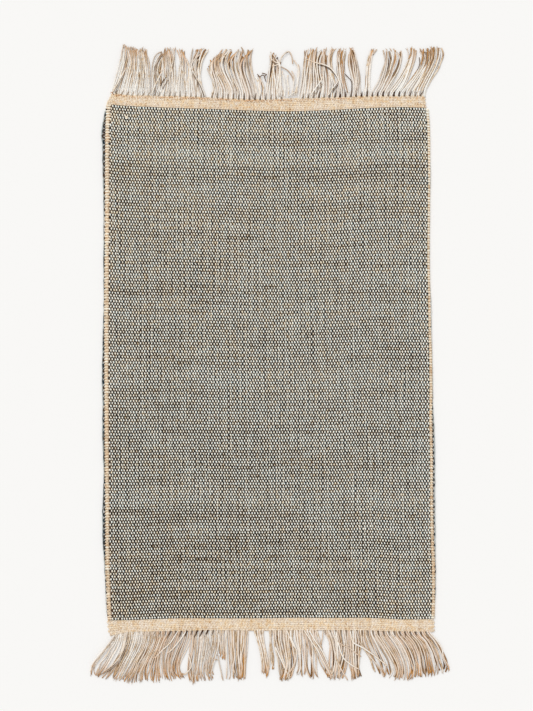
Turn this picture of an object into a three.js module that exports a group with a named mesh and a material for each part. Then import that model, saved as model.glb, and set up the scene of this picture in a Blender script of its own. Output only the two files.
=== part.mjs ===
// A flat-woven jute rug, 60 x 100 cm and its fringes: a dark field between two selvedges, a natural
// heading at each end, and beyond each heading the ends of the warps, left hanging free as a fringe.
// Millimetres. +X is across the rug, +Y is along its warps and +Z is up. The rug lies flat on Z = 0,
// and the origin is on the floor under the middle of everything it reaches, fringes included.
import * as THREE from "three";

const FIELD_THICK = 7; // thick wefts with a warp over and under them
const SELVEDGE_THICK = 6.4;
const HEADING_THICK = 4.6; // fine wefts
const FRINGE_THICK = 3.2; // one layer of warp ends
const LEFT_SELVEDGE_WIDE = 14;
const RIGHT_SELVEDGE_WIDE = 12;
const SEAM = 0.3; // between one piece and the next
const EDGE_STEP = 30; // spacing of the points along an outline
const SELVEDGE_ROUND = 2;
const HEADING_ROUND = 0.8;
const BUNDLE_WIDE = 9.8; // four warp ends that leave the heading together
const BUNDLE_FILL = 0.88; // of that width, what its tooth takes
const TOOTH_STEPS = 6;
const TIP_TAPER = 0.6; // width of a tooth's tip against its middle
const TIP_RAGGED = 0.03; // how far tips fall short or run on, as a share of their length
const ROOT_STRIP = 5; // what the teeth of a fringe have in common, along the heading

// The sides of the woven cloth from one end to the other, selvedges included.
const SIDES = [
  { y: -499, left: -295, right: 307 },
  { y: -465, left: -300.5, right: 306.5 },
  { y: -425, left: -302.5, right: 309 },
  { y: -380, left: -304, right: 309.5 },
  { y: -340, left: -309, right: 308 },
  { y: -290, left: -308, right: 307 },
  { y: -210, left: -306, right: 307.5 },
  { y: -125, left: -310, right: 306 },
  { y: -80, left: -308, right: 303.5 },
  { y: -20, left: -310, right: 302.5 },
  { y: 45, left: -308, right: 303 },
  { y: 116, left: -307, right: 300.5 },
  { y: 180, left: -306, right: 296 },
  { y: 235, left: -306, right: 298.5 },
  { y: 300, left: -306, right: 297.5 },
  { y: 345, left: -308, right: 300.5 },
  { y: 390, left: -311.5, right: 300 },
  { y: 434, left: -309, right: 297 },
  { y: 456, left: -305, right: 295 },
  { y: 478, left: -301, right: 291.5 },
  { y: 497, left: -291, right: 289.5 },
];

// The lines that cross the rug, bowed a little by the loom: where each fringe leaves its heading,
// and where each heading meets the field.
const ACROSS = [
  { x: -310, topFringe: 496, topField: 479, bottomField: -476, bottomFringe: -499 },
  { x: -265, topFringe: 491.5, topField: 474, bottomField: -476, bottomFringe: -499 },
  { x: -220, topFringe: 490, topField: 471, bottomField: -475, bottomFringe: -499 },
  { x: -160, topFringe: 489.5, topField: 469, bottomField: -474, bottomFringe: -497 },
  { x: -100, topFringe: 487.5, topField: 468.5, bottomField: -473, bottomFringe: -496 },
  { x: -30, topFringe: 486, topField: 466.5, bottomField: -472, bottomFringe: -495 },
  { x: 45, topFringe: 488, topField: 465.5, bottomField: -471, bottomFringe: -494.5 },
  { x: 120, topFringe: 490, topField: 467, bottomField: -472.5, bottomFringe: -494 },
  { x: 190, topFringe: 492, topField: 470, bottomField: -473, bottomFringe: -495 },
  { x: 240, topFringe: 493, topField: 472, bottomField: -474, bottomFringe: -496.5 },
  { x: 310, topFringe: 494, topField: 470.5, bottomField: -472, bottomFringe: -497 },
];

// The locks that each fringe has fallen into. A row gives a lock's left and right border in X at its
// root, a third of the way out, two thirds out and at its tips, then how far the tips reach from the
// heading on the left and on the right. Between the locks the floor shows.
const TOP_LOCKS = [
  { root: [-290, -220], low: [-285, -221], high: [-279, -224], tip: [-272, -227], reach: [89, 93] },
  { root: [-219, -196], low: [-218, -200], high: [-215, -203], tip: [-211, -197], reach: [84, 80] },
  { root: [-195, -174], low: [-194, -176], high: [-190, -176], tip: [-183, -171], reach: [86, 89] },
  { root: [-173, -142], low: [-172, -144], high: [-168, -149], tip: [-166, -153], reach: [89, 86] },
  { root: [-140, -115], low: [-141, -118], high: [-145, -129], tip: [-134, -122], reach: [80, 84] },
  { root: [-107, -21], low: [-107, -22], high: [-108, -25], tip: [-109, -29], reach: [91, 93] },
  { root: [-20, -9], low: [-22, -8], high: [-23, -7], tip: [-21, -6], reach: [50, 44] },
  { root: [-8, 31], low: [-7, 29], high: [-4, 32], tip: [5, 38], reach: [87, 82] },
  { root: [33, 53], low: [35, 50], high: [38, 48], tip: [40, 47], reach: [60, 52] },
  { root: [55, 115], low: [58, 113], high: [62, 114], tip: [66, 118], reach: [88, 92] },
  { root: [117, 138], low: [123, 136], high: [128, 136], tip: [131, 137], reach: [84, 88] },
  { root: [151, 174], low: [152, 172], high: [152, 167], tip: [142, 160], reach: [92, 90] },
  { root: [176, 184], low: [179, 184], high: [181, 184.5], tip: [186, 189], reach: [86, 89] },
  { root: [186, 224], low: [198, 227], high: [207, 240], tip: [213, 240], reach: [85, 88] },
  { root: [225, 238], low: [240, 250], high: [253, 262], tip: [259, 267], reach: [82, 86] },
  { root: [239, 288], low: [253, 302], high: [270, 314], tip: [280, 319], reach: [86, 80] },
];
const BOTTOM_LOCKS = [
  { root: [-289, -271], low: [-297, -275], high: [-321, -292], tip: [-332, -306], reach: [72, 88] },
  { root: [-270, -186], low: [-273, -196], high: [-289, -201], tip: [-302, -199], reach: [92, 94] },
  { root: [-185, -134], low: [-195, -147], high: [-199, -160], tip: [-197, -164], reach: [93, 87] },
  { root: [-133, -110], low: [-136, -116], high: [-138, -125], tip: [-146, -131], reach: [96, 99] },
  { root: [-109, -97], low: [-115, -103], high: [-124, -114], tip: [-128, -119], reach: [92, 91] },
  { root: [-96, -75], low: [-102, -82], high: [-108, -94], tip: [-113, -104], reach: [92, 93] },
  { root: [-73, -34], low: [-73, -36], high: [-72, -39], tip: [-70, -43], reach: [88, 90] },
  { root: [-25, -11], low: [-19, -8], high: [-13, -3], tip: [-11, 3], reach: [78, 88] },
  { root: [2, 6], low: [2.5, 5.5], high: [3, 6], tip: [3, 6], reach: [72, 72] },
  { root: [8, 54], low: [9, 53], high: [19, 49], tip: [23, 38], reach: [94, 92] },
  { root: [55, 76], low: [58, 79], high: [64, 87], tip: [69, 89], reach: [88, 88] },
  { root: [77, 91], low: [82, 96], high: [96, 106], tip: [106, 116], reach: [84, 90] },
  { root: [105, 145], low: [114, 147], high: [120, 145], tip: [121, 138], reach: [90, 88] },
  { root: [146, 173], low: [149, 174], high: [151, 169], tip: [153, 169], reach: [92, 83] },
  { root: [174, 192], low: [176, 204], high: [190, 219], tip: [199, 217], reach: [77, 84] },
  { root: [193, 234], low: [205, 243], high: [220, 256], tip: [221, 254], reach: [80, 85] },
  { root: [235, 275], low: [244, 291], high: [257, 302], tip: [256, 304], reach: [81, 78] },
  { root: [276, 299], low: [293, 315], high: [304, 324], tip: [308, 327], reach: [73, 68] },
];

const NATURAL = new THREE.Color("#dcc6a6");
const CREAM = new THREE.Color("#d6c8b2");
const TAN = new THREE.Color("#cdb592");
const CHARCOAL_MARL = new THREE.Color("#938d82");

// A smooth curve through one column of a table, read at any value of its first column.
function curveOf(table, along, column) {
  const at = table.map((row) => row[along]);
  const values = table.map((row) => row[column]);
  const curve = new THREE.CubicInterpolant(at, values, 1, new Float32Array(1));
  return (where) => curve.evaluate(where)[0];
}

const leftSide = curveOf(SIDES, "y", "left");
const rightSide = curveOf(SIDES, "y", "right");
const topFringeLine = curveOf(ACROSS, "x", "topFringe");
const topFieldLine = curveOf(ACROSS, "x", "topField");
const bottomFieldLine = curveOf(ACROSS, "x", "bottomField");
const bottomFringeLine = curveOf(ACROSS, "x", "bottomFringe");

// Both ends, and the multiples of EDGE_STEP well between them, so that neighbours share their points.
function spread(from, to) {
  const low = Math.min(from, to);
  const high = Math.max(from, to);
  const clear = EDGE_STEP / 3;
  const between = [];
  for (let at = Math.ceil((low + clear) / EDGE_STEP) * EDGE_STEP; at < high - clear; at += EDGE_STEP) {
    between.push(at);
  }
  return from < to ? [low, ...between, high] : [high, ...between.reverse(), low];
}

// Points on a line that crosses the rug, and points on a line that runs along it.
function crossing(line, fromX, toX, shift = 0) {
  return spread(fromX, toX).map((x) => new THREE.Vector2(x, line(x) + shift));
}
function running(side, fromY, toY, shift = 0) {
  return spread(fromY, toY).map((y) => new THREE.Vector2(side(y) + shift, y));
}

// A flat piece of cloth lying on the floor: its outline, its thickness and how round its rim is.
function laidCloth(points, thickness, round = 0) {
  const cloth = new THREE.ExtrudeGeometry(new THREE.Shape(points), {
    depth: thickness - 2 * round,
    bevelEnabled: round > 0,
    bevelThickness: round,
    bevelSize: round,
    bevelOffset: -round,
    bevelSegments: 2,
  });
  return cloth.translate(0, 0, round);
}

// Where a line that runs along the rug meets one that crosses it.
function meetingX(side, shift, line) {
  const near = side(line(0)) + shift;
  return side(line(near)) + shift;
}

// An outline that two lines along the rug and the two field lines enclose.
function betweenFieldLines(left, leftShift, right, rightShift) {
  const topLeft = meetingX(left, leftShift, topFieldLine);
  const topRight = meetingX(right, rightShift, topFieldLine);
  const bottomLeft = meetingX(left, leftShift, bottomFieldLine);
  const bottomRight = meetingX(right, rightShift, bottomFieldLine);
  return [
    ...crossing(bottomFieldLine, bottomLeft, bottomRight),
    ...running(right, bottomFieldLine(bottomRight), topFieldLine(topRight), rightShift).slice(1, -1),
    ...crossing(topFieldLine, topRight, topLeft),
    ...running(left, topFieldLine(topLeft), bottomFieldLine(bottomLeft), leftShift).slice(1, -1),
  ];
}

function wovenField() {
  const inFromLeft = LEFT_SELVEDGE_WIDE + SEAM;
  const inFromRight = -RIGHT_SELVEDGE_WIDE - SEAM;
  return laidCloth(betweenFieldLines(leftSide, inFromLeft, rightSide, inFromRight), FIELD_THICK);
}

// A selvedge runs the length of the field, with a rim rounded by the wefts that turn about it.
function selvedge(side, outer, inner) {
  const outline = betweenFieldLines(side, outer, side, inner);
  return laidCloth(outline, SELVEDGE_THICK, SELVEDGE_ROUND);
}

// A heading spans the whole width between its field line and its fringe line.
function heading(fieldLine, fringeLine, outward) {
  const [left, right] = [meetingX(leftSide, 0, fieldLine), meetingX(rightSide, 0, fieldLine)];
  const [outLeft, outRight] = [meetingX(leftSide, 0, fringeLine), meetingX(rightSide, 0, fringeLine)];
  const inner = crossing(fieldLine, left, right, outward * SEAM);
  const outer = crossing(fringeLine, outRight, outLeft);
  return laidCloth([...inner, ...outer], HEADING_THICK, HEADING_ROUND);
}

// One bundle of a lock as a flat tapering tooth: its two edges, each from the root to the tip.
function toothEdges(lock, tooth, teeth, fringeLine, outward, ragged) {
  const middle = (tooth + 0.5) / teeth;
  const third = (lock.reach[0] + lock.reach[1]) / 6;
  const length = THREE.MathUtils.lerp(lock.reach[0], lock.reach[1], middle) * (1 + ragged);
  const out = [ROOT_STRIP, third, 2 * third, length];
  const taper = [1, 1, 1, TIP_TAPER];
  const borders = [lock.root, lock.low, lock.high, lock.tip];
  const foot = fringeLine(THREE.MathUtils.lerp(lock.root[0], lock.root[1], middle));
  return [-0.5, 0.5].map((edge) => {
    const stations = borders.map((border, i) => {
      const share = middle + (edge * BUNDLE_FILL * taper[i]) / teeth;
      return new THREE.Vector2(THREE.MathUtils.lerp(border[0], border[1], share), foot + outward * out[i]);
    });
    return new THREE.SplineCurve(stations).getPoints(TOOTH_STEPS);
  });
}

// A fringe is one comb: a strip along the heading, and a tooth for each bundle of warp ends.
function fringe(locks, fringeLine, outward) {
  const from = locks[0].root[0];
  const to = locks[locks.length - 1].root[1];
  const comb = [];
  for (const lock of locks) {
    const teeth = Math.max(1, Math.round((lock.root[1] - lock.root[0]) / BUNDLE_WIDE));
    for (let tooth = 0; tooth < teeth; tooth++) {
      const ragged = TIP_RAGGED * Math.sin(comb.length);
      const [left, right] = toothEdges(lock, tooth, teeth, fringeLine, outward, ragged);
      comb.push(...left, ...right.reverse());
    }
  }
  return laidCloth([...crossing(fringeLine, to, from, outward * SEAM), ...comb], FRINGE_THICK);
}

function piece(name, geometry, color, roughness) {
  const material = new THREE.MeshStandardMaterial({ color, roughness, metalness: 0 });
  const mesh = new THREE.Mesh(geometry, material);
  mesh.name = name;
  return mesh;
}

const rug = new THREE.Group();
rug.add(
  piece("woven_field", wovenField(), CHARCOAL_MARL, 0.95),
  piece("selvedge_left", selvedge(leftSide, 0, LEFT_SELVEDGE_WIDE), TAN, 0.92),
  piece("selvedge_right", selvedge(rightSide, -RIGHT_SELVEDGE_WIDE, 0), TAN, 0.92),
  piece("heading_top", heading(topFieldLine, topFringeLine, 1), NATURAL, 0.9),
  piece("heading_bottom", heading(bottomFieldLine, bottomFringeLine, -1), NATURAL, 0.9),
  piece("fringe_top", fringe(TOP_LOCKS, topFringeLine, 1), CREAM, 0.88),
  piece("fringe_bottom", fringe(BOTTOM_LOCKS, bottomFringeLine, -1), CREAM, 0.88),
);
const reach = new THREE.Box3().setFromObject(rug);
const middle = reach.getCenter(new THREE.Vector3());
rug.position.set(-middle.x, -middle.y, 0);

export default rug;
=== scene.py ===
"""A flat-woven jute rug, thread by thread: one dark weft laid to and fro through pale warps, an overcast
binding down each side, a natural heading at each end, and the warp ends hanging free as a fringe.

The yarns and the tables that they follow are in millimetres on the loom, with X across the rug, Y along
its warps and Z up. Meshes are moved to the rug's own frame and scaled to metres when they are made. The
materials, the view and the room are in metres.
"""

import bpy
import numpy as np
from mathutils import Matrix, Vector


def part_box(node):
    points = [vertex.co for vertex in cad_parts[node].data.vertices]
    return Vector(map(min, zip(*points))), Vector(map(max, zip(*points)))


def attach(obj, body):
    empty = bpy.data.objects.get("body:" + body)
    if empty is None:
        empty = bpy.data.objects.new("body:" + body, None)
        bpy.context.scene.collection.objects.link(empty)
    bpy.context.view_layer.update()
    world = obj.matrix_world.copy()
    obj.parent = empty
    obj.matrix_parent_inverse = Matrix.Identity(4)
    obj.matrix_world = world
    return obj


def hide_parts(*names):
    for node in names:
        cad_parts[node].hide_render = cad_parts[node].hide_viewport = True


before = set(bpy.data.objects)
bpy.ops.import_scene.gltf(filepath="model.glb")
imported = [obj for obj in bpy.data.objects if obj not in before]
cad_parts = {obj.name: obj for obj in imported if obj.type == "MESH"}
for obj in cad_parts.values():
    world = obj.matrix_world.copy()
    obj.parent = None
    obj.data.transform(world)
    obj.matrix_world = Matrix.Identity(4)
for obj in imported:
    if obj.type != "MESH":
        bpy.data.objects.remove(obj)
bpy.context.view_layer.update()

MM = 0.001

# The solids' leftmost side and outermost fringe lines, on the loom.
SOLID_LEFT, SOLID_TOP, SOLID_BOTTOM = -311.5, 501.2, -504.0

# The cloth's outline, its left and right sides first.
LEFT, RIGHT = 1, 2  # columns of SIDES and of BINDINGS
SIDES = np.array([  # y, left side, right side
    (-499, -295, 307), (-465, -300, 307), (-425, -302, 310), (-380, -304, 310),
    (-340, -307, 309.5), (-290, -308, 309), (-210, -305.8, 308.7), (-125, -308, 307.7),
    (-80, -307.5, 305), (-20, -308.8, 304.5), (45, -307.3, 303), (116, -305.5, 301.5),
    (180, -306, 297), (235, -306, 298.5), (300, -306, 299), (345, -307.3, 300.8),
    (390, -307.8, 299), (434, -309, 297.5), (456, -305, 295), (478, -301, 291.5),
    (497, -291, 289.5),
])
ACROSS = np.array([  # x, top fringe line, top field line, bottom field line, bottom fringe line
    (-310, 502, 480.5, -475, -508), (-285, 498.8, 477, -474.8, -503), (-265, 496, 475.3, -474.6, -498.5),
    (-220, 494.5, 473, -472.8, -496.5), (-160, 493.5, 470.8, -471, -495.5), (-100, 491, 469, -471, -494),
    (-30, 487.6, 466.2, -471, -494.5), (45, 489.8, 464.9, -469.7, -494), (120, 492, 467.5, -470.2, -494),
    (190, 494, 471.2, -470.2, -495), (240, 494.2, 472.6, -473, -496.5), (310, 495, 470.5, -472.5, -497),
])
TOP_FRINGE, TOP_FIELD, BOTTOM_FIELD, BOTTOM_FRINGE = 1, 2, 3, 4  # columns of ACROSS
REACH = 2  # how many columns of BINDINGS lie between a binding's middle and its reach
BINDINGS = np.array([  # y, middles of the left and the right binding, how far each reaches to either side
    (-499, -291.5, 303, 3.5, 2.2), (-430, -295, 304.4, 3.5, 2.4), (-384, -297, 304.5, 3.5, 2.6),
    (-328, -297.6, 302.5, 3.5, 2.5), (-273, -297.8, 301.4, 3.5, 2.5), (-160, -298.6, 300.6, 3.5, 2.4),
    (-106, -298.9, 299.5, 3.5, 2.4), (-51, -299.2, 299.8, 3.5, 2.0), (5, -299.3, 299.2, 3.5, 2.0),
    (60, -299.2, 297.6, 3.5, 1.7), (116, -299.1, 296.7, 3.5, 1.5), (200, -298.5, 295.3, 3.5, 1.4),
    (282, -298, 296, 3.5, 1.4), (375, -297.9, 296.3, 3.5, 1.5), (445, -297, 295, 3.5, 1.6),
    (497, -294, 290.6, 3.5, 1.6),
])

# The locks of each fringe: x of their two edges at the root, a third out, two thirds out and at the
# tip, and how far the two edges reach.
LEFT_REACH, RIGHT_REACH = 8, 9  # the last two columns
TOP_LOCKS = np.array([
    (-291.6, -218, -284, -218, -273, -220, -271, -224, 89, 86),
    (-218, -197, -214, -192, -213, -194, -199, -190, 81, 77),
    (-197, -170, -193, -169, -193, -172, -192, -174, 87, 89),
    (-170, -147, -169, -148, -167, -150, -165, -155, 89, 84),
    (-148, -115, -148, -124, -146, -124, -140, -114, 88, 89),
    (-109, -72, -105, -77, -108, -90, -113, -86, 60, 90),
    (-72, -46, -77, -51, -90, -61, -74, -53, 91, 92),
    (-46, -19, -51, -24, -60, -30, -52, -29, 92, 92),
    (-16, -6, -16, -7, -19, -6, -24, -5, 45, 45),
    (-6, 33, -3, 26, 2, 20, 6, 20, 89, 66),
    (55, 124, 60, 125, 63, 119, 66, 124, 89, 92),
    (126, 150, 127, 143, 126, 140, 132, 139, 89, 87),
    (150, 174, 155, 170, 148, 167, 147, 159, 91, 88),
    (174, 190, 180, 187, 181, 187, 192, 197, 86, 87),
    (190, 217, 202, 230, 210, 243, 210, 246, 86, 86),
    (217, 242, 235, 256, 253, 268, 258, 270, 88, 90),
    (242, 290.2, 259, 298, 277, 313, 277, 317, 87, 92),
])
BOTTOM_LOCKS = np.array([
    (-288, -266, -301, -268, -322, -280, -331, -300, 72, 86),
    (-266, -238, -270, -243, -283, -258, -298, -271, 84, 91),
    (-238, -213, -243, -217, -256, -236, -270, -246, 92, 95),
    (-213, -183, -217, -196, -234, -201, -245, -199, 94, 92),
    (-183, -143, -196, -146, -200, -160, -194, -157, 91, 88),
    (-143, -124, -145, -125, -148, -129, -147, -132, 95, 99),
    (-124, -113, -126, -114, -130, -118, -130, -121, 92, 91),
    (-113, -93, -114, -92, -119, -101, -112, -101, 90, 91),
    (-93, -76, -92, -76, -92, -78, -92, -79, 50, 56),
    (-76, -37, -74, -39, -73, -41, -71, -43, 89, 91),
    (-26, -10, -19, -8, -13, -3, -11, 4, 78, 89),
    (1, 7, 2.5, 5.5, 3, 6, 3, 6, 72, 74),
    (8, 48, 11, 48, 19, 51, 20, 39, 93, 92),
    (48, 58, 52, 60, 56, 60, 56, 60, 84, 84),
    (58, 76, 60, 85, 64, 86, 68, 88, 88, 89),
    (76, 92, 84, 97, 96, 108, 107, 118, 86, 90),
    (102, 145, 112, 146, 112, 146, 111, 137, 91, 90),
    (145, 173, 146, 173, 151, 171, 153, 170, 92, 84),
    (173, 196, 174, 209, 185, 226, 201, 231, 80, 88),
    (196, 225, 209, 243, 226, 256, 231, 255, 88, 90),
    (225, 244, 243, 262, 256, 273, 255, 275, 90, 85),
    (244, 271, 262, 290, 273, 298, 275, 302, 84, 82),
    (271, 300.6, 290, 316, 298, 329, 302, 335, 82, 73),
])

# Sizes of the field.
FIELD_SEED = 31
PICKS = 186  # rows of weft
PICK_SPREAD = 0.05  # how unevenly they are beaten up, as a share of a row
WARPS = 226
WARP_MIDDLE = 3.5  # half the field's thickness
WARP_SWING = 2.45  # how far a warp's middle rises and dips
WARP_FLOAT_WIDE = 1.5  # half a warp's width where it shows on top
WARP_DIP_WIDE = 0.8  # and where it dips under
WARP_HALF_HIGH = 1.05
WARP_END = 2.9  # how high a warp lies where it meets a heading
FLOAT_REACH = 0.65  # from a pick's middle to each end of the float over it
FLOAT_LEAN = 0.24  # how far those ends lean to either side
WEFT_HALF_WIDE = 2.55  # half the weft's width where it runs under the warps
WEFT_HALF_HIGH = 1.75
WEFT_STEPS = 30  # points in each run of the weft
WEFT_IN_LEFT = 5.0  # how far inside the left side its turns start
WEFT_IN_RIGHT = 6.0
TURN_HALF_WIDE = 1.7  # and where it turns back
TURN_HALF_HIGH = 1.5
TURN_STEPS = 4  # points in each turn
MOTTLE_KNOTS = 15  # places across the rug at which a pick has a tone of its own

# Sizes of the sides.
LEFT_BAND = 4.3  # from the middle of the left binding to the first warp
RIGHT_BAND = 2.8
BIND_STEPS = 10  # points in each turn of a binding
BIND_HALF_THICK = 1.9
BIND_MIDDLE = 3.2  # how high the middle of a binding lies
BIND_RISE = 1.35  # how far its yarn rises and dips round it
EDGE_STEPS = 620  # points in each dark thread along a side
EDGE_MIDDLE = 2.9  # how high it lies
EDGE_CELLS = 180  # cells of the bake map that one fills
SLUB_X, SLUB_Y = -262.5, 453

# Sizes of the headings.
HEADING_PICKS = 7
HEADING_WARPS = 232
HEADING_MIDDLE = 2.3  # half a heading's thickness
HEADING_SWING = 1.25  # how far its warps rise and dip
HEADING_YARN = 1.0  # half a warp's thickness there
HEADING_FLOAT_REACH = 0.8
HEADING_FLOAT_LEAN = 0.15
HEADING_WARPS_IN = 1.4  # from each side to the first warp
HEADING_WEFT_IN = 2.8
HEADING_WEFT_HALF_WIDE = 1.55
HEADING_WEFT_HALF_HIGH = 1.1
HEADING_TURN_HALF_WIDE = 1.2
HEADING_STEPS = 80  # points in each run of its weft
TWINE_STEPS = 420
TWINE_TURNS = 44  # how often the two rust threads wind round each other
TWINE_HALF_THICK = 0.5

# Sizes of the fringes.
BUNDLE_WIDE = 9.85
UPPER_HALF_WIDE = 1.65  # half the width of a strand that has half a bundle
UNDER_HALF_WIDE = 1.9  # and of one under the others
STRAY_HALF_WIDE = 1.35
# Half the width of the painted shade in a furrow, at its root.
FURROW_SHADE_HALF_WIDE = 2.1
HAIRS = 2  # loose hairs at each yarn's end
FRINGE_STEPS = 20

# Along each yarn of a fringe, from its root to its tip.
SHARE_OUT = np.linspace(0, 1, FRINGE_STEPS + 1)
TAPER = np.interp(SHARE_OUT, [0, 0.05, 0.9, 1.0], [0.9, 1.0, 1.0, 0.8])
BROWN_TIP = np.interp(SHARE_OUT, [0, 0.6, 0.85, 1.0], [0, 0.1, 0.5, 0.9])
BROWN_ALL_ALONG = np.interp(SHARE_OUT, [0, 0.5, 1], [1.0, 0.9, 0.4])

# The view, in metres in the rug's own frame.
VIEW_MIDDLE = (-0.0016, 0.0179)
VIEW_WIDE = 0.986
CAMERA_HIGH = 3.2
FRAME_WIDE, FRAME_HIGH = 533, 711  # only how wide the frame is for its height

# The studio.
ROOM_LIGHT = 0.62
WINDOW_LIGHT = 1.45
WINDOW_WIDE = 0.6  # the angle, in radians, from which the lamp shines
PAPER_REACH = 8.0  # metres from the middle of the floor to each edge
PLAIN_WHITE = 0.35  # the share of the floor that the camera sees plain


def curve(table, column, at):
    """A smooth curve through one column of a table over its first: on each stretch the cubic that has
    the table's values at both ends, and there the slopes that its neighbours give. Past the table's
    ends it keeps the last value."""
    places = table[:, 0]
    values = table[:, column]
    slopes = np.gradient(values, places)
    at = np.clip(at, places[0], places[-1])
    n = np.clip(np.searchsorted(places, at) - 1, 0, len(places) - 2)
    width = places[n + 1] - places[n]
    t = (at - places[n]) / width
    rise = values[n] * (1 + 2 * t) * (1 - t) ** 2 + values[n + 1] * t * t * (3 - 2 * t)
    lean = slopes[n] * t * (1 - t) ** 2 - slopes[n + 1] * t * t * (1 - t)
    return rise + lean * width


def by_x(table, column, x):
    """One column of a table at x, on the straight lines that join its rows."""
    return np.interp(x, table[:, 0], table[:, column])


def on_cloth(across, along, low, high, left_band=0.0, right_band=0.0, sides=SIDES):
    """The x and y of a place on a band of cloth, from its share of the way across, between the rug's
    two sides less what their bands take, and its share of the way up between two crossing lines. The
    sides can be another table's, such as the middles of the bindings. The sides bend with y and the
    lines with x, so x starts as a guess and is worked out again three times."""
    x = 600 * (across - 0.5)
    for _ in range(3):
        bottom = curve(ACROSS, low, x)
        top = curve(ACROSS, high, x)
        y = bottom + along * (top - bottom)
        left = curve(sides, LEFT, y) + left_band
        right = curve(sides, RIGHT, y) - right_band
        x = left + across * (right - left)
    return x, y


def uneven(rng, shape, knots, spread):
    """Slow unevenness along the last axis: random values at evenly spaced knots, joined by lines."""
    held = rng.normal(0, spread, shape[:-1] + (knots,))
    place = np.linspace(0, knots - 1, shape[-1])
    n = np.minimum(place.astype(int), knots - 2)
    t = place - n
    return held[..., n] * (1 - t) + held[..., n + 1] * t


def loom_to_frame():
    """How far the rug's own frame lies from the loom's: the solids' left side and fringe lines against
    where they are on the loom."""
    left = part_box("selvedge_left")[0].x / MM
    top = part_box("heading_top")[1].y / MM
    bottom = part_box("heading_bottom")[0].y / MM
    return np.array([left - SOLID_LEFT, (top + bottom - SOLID_TOP - SOLID_BOTTOM) / 2, 0])


SHIFT = loom_to_frame()


def tubes(path, wide, high, sides, up=(0, 0, 1), tone=0.5, worn=0.0, shade=0.0, cells=1):
    """Closed tubes along paths (yarns, points, 3): at each point an ellipse square to the path, with
    half its width level and half its height towards up, and at each end a fan of quads. tone, worn and
    shade are what the materials read at each point, and cells is how many cells of the bake map one
    yarn fills. Returns the points and, for each corner of each face, the yarn, the ring and the side
    that it belongs to."""
    yarns, rings = path.shape[:2]
    ahead = np.gradient(path, axis=1)
    ahead /= np.linalg.norm(ahead, axis=2, keepdims=True)
    level = np.cross(ahead, np.array(up, float))
    level /= np.linalg.norm(level, axis=2, keepdims=True)
    rise = np.cross(level, ahead)
    turn = -np.pi / 2 + 2 * np.pi * np.arange(sides)[:, None] / sides
    wide = np.broadcast_to(wide, (yarns, rings))[..., None, None]
    high = np.broadcast_to(high, (yarns, rings))[..., None, None]
    ring = level[:, :, None] * np.cos(turn) * wide + rise[:, :, None] * np.sin(turn) * high
    points = path[:, :, None] + ring

    yarn, step, side = np.meshgrid(np.arange(yarns), np.arange(rings - 1), np.arange(sides), indexing="ij")
    skin = np.stack([
        np.stack([yarn, yarn, yarn, yarn], -1),
        np.stack([step, step + 1, step + 1, step], -1),
        np.stack([side, side, side + 1, side + 1], -1),
    ]).reshape(3, -1, 4)
    fan = 2 * np.arange((sides - 2) // 2)
    first = np.stack([0 * fan, fan + 1, fan + 2, fan + 3], -1)
    both = np.concatenate([first, first[:, ::-1]])
    level_of = np.repeat([0, rings - 1], len(fan))[:, None] + 0 * both
    caps = np.stack([
        np.broadcast_to(np.arange(yarns)[:, None, None], (yarns,) + both.shape),
        np.broadcast_to(level_of, (yarns,) + both.shape),
        np.broadcast_to(both, (yarns,) + both.shape),
    ]).reshape(3, -1, 4)
    corners = np.concatenate([skin, caps], axis=1)
    run = np.linalg.norm(np.diff(path, axis=1), axis=2)
    length = np.concatenate([np.zeros((yarns, 1)), np.cumsum(run, axis=1)], axis=1)
    return {
        "points": points.reshape(-1, 3),
        "corners": corners,
        "vertex": (corners[0] * rings + corners[1]) * sides + corners[2] % sides,
        "length": length,
        "rings": rings,
        "sides": sides,
        "cells": cells,
        "tone": np.repeat(np.broadcast_to(tone, (yarns, rings)).ravel(), sides),
        "worn": np.repeat(np.broadcast_to(worn, (yarns, rings)).ravel(), sides),
        "shade": np.repeat(np.broadcast_to(shade, (yarns, rings)).ravel(), sides),
    }


def unrolled(part, patch, columns, lying):
    """Each yarn's skin unrolled into its own cells of a grid on the patch (u0, v0, u1, v1), its length
    up the cell, or across it where the cells are lying, with a margin on every side."""
    yarn, step, side = part["corners"]
    cells = part["cells"]
    place = step.min(axis=1, keepdims=True) * cells / (part["rings"] - 1)
    cell = np.minimum(place.astype(int), cells - 1)
    share = step * cells / (part["rings"] - 1) - cell
    number = yarn * cells + cell
    rows = -(-(yarn.max() + 1) * cells // columns)
    around = 0.06 + 0.88 * side / part["sides"]
    along = 0.01 + 0.98 * np.clip(share, 0, 1)
    if lying:
        around, along = along, around
    u = (number % columns + around) / columns
    v = (number // columns + along) / rows
    return np.stack([
        patch[0] + u * (patch[2] - patch[0]),
        patch[1] + v * (patch[3] - patch[1]),
    ], -1)


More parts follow.
